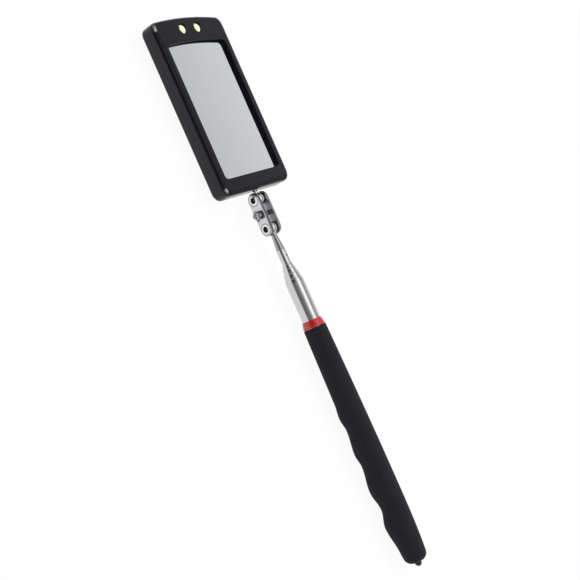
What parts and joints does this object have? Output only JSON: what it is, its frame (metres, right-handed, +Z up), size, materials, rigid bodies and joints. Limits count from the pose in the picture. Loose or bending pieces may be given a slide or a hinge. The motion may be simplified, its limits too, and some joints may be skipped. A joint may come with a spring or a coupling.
{
  "type": "telescoping inspection mirror",
  "caption": "Lit rectangular inspection mirror on a double-ball swivel link, with a chromed telescoping handle, red collar and contoured foam grip.",
  "frame": {"origin": "bottom centre of the bounding box, with the tool lying collapsed on its grip", "axes": "+X along the tool from the head to the butt, +Y across the head, +Z up out of the mirror"},
  "size_m": [0.2942, 0.052, 0.0149],
  "materials": {
    "chrome": "polished",
    "satin_nickel": "satin",
    "steel": "satin",
    "cell_steel": "polished",
    "foam": "matte foam",
    "pad_foam": "matte foam",
    "red_plastic": "gloss",
    "plug_plastic": "matte",
    "nylon": "matte",
    "case_plastic": "satin",
    "switch_plastic": "matte",
    "mirror": "polished",
    "led_lens": "gloss",
    "circuit_board": "matte"
  },
  "bodies": {
    "handle": {"outer_tube": "chrome", "grip": "foam", "collar": "red_plastic", "end_plug": "plug_plastic"},
    "section_2": {"section_2": "chrome", "section_2_bush": "nylon"},
    "section_3": {"section_3": "chrome", "section_3_bush": "nylon"},
    "section_4": {"section_4": "chrome", "section_4_bush": "nylon"},
    "inner_bush": {"section_5_bush": "nylon"},
    "rod": {"section_5": "chrome", "rod_tip": "chrome", "rod_pin": "steel"},
    "link": {"link_plate_left": "satin_nickel", "link_plate_right": "satin_nickel", "link_screw": "steel", "link_washer": "steel"},
    "stud": {"head_stud": "chrome", "stud_nut": "steel"},
    "head": {"front_bezel": "case_plastic", "rear_shell": "case_plastic", "mirror_glass": "mirror", "mirror_pad": "pad_foam", "led_left": "led_lens", "led_right": "led_lens", "led_board": "circuit_board", "switch_body": "switch_plastic", "battery_1": "cell_steel", "battery_2": "cell_steel", "contact_plus": "steel", "contact_minus": "steel", "contact_bridge": "steel", "battery_door": "case_plastic", "door_screw": "steel", "case_screw_1": "steel", "case_screw_2": "steel", "case_screw_3": "steel", "case_screw_4": "steel"},
    "switch": {"switch_slider": "switch_plastic"}
  },
  "joints": [
    {"name": "section_2_slide", "type": "slide", "parent": "handle", "child": "section_2", "axis": [-1, 0, 0], "range_m": [0, 0.131]},
    {"name": "section_3_slide", "type": "slide", "parent": "section_2", "child": "section_3", "axis": [-1, 0, 0], "range_m": [0, 0.1241]},
    {"name": "section_4_slide", "type": "slide", "parent": "section_3", "child": "section_4", "axis": [-1, 0, 0], "range_m": [0, 0.1171]},
    {"name": "section_5_slide", "type": "slide", "parent": "section_4", "child": "inner_bush", "axis": [-1, 0, 0], "range_m": [0, 0.1096]},
    {"name": "rod_turn", "type": "hinge", "parent": "inner_bush", "child": "rod", "pos_m": [-0.03442, 0, 0.00795], "axis": [1, 0, 0], "continuous": true},
    {"name": "link_swing", "type": "hinge", "parent": "rod", "child": "link", "pos_m": [-0.03442, 0, 0.00795], "axis": [0, 1, 0], "range_deg": [-90, 90]},
    {"name": "stud_swing", "type": "hinge", "parent": "link", "child": "stud", "pos_m": [-0.04992, 0, 0.00795], "axis": [0, -1, 0], "range_deg": [-90, 90]},
    {"name": "head_turn", "type": "hinge", "parent": "stud", "child": "head", "pos_m": [-0.04992, 0, 0.00795], "axis": [1, 0, 0], "continuous": true},
    {"name": "switch_slide", "type": "slide", "parent": "head", "child": "switch", "axis": [0, 1, 0], "range_m": [0, 0.003]}
  ]
}
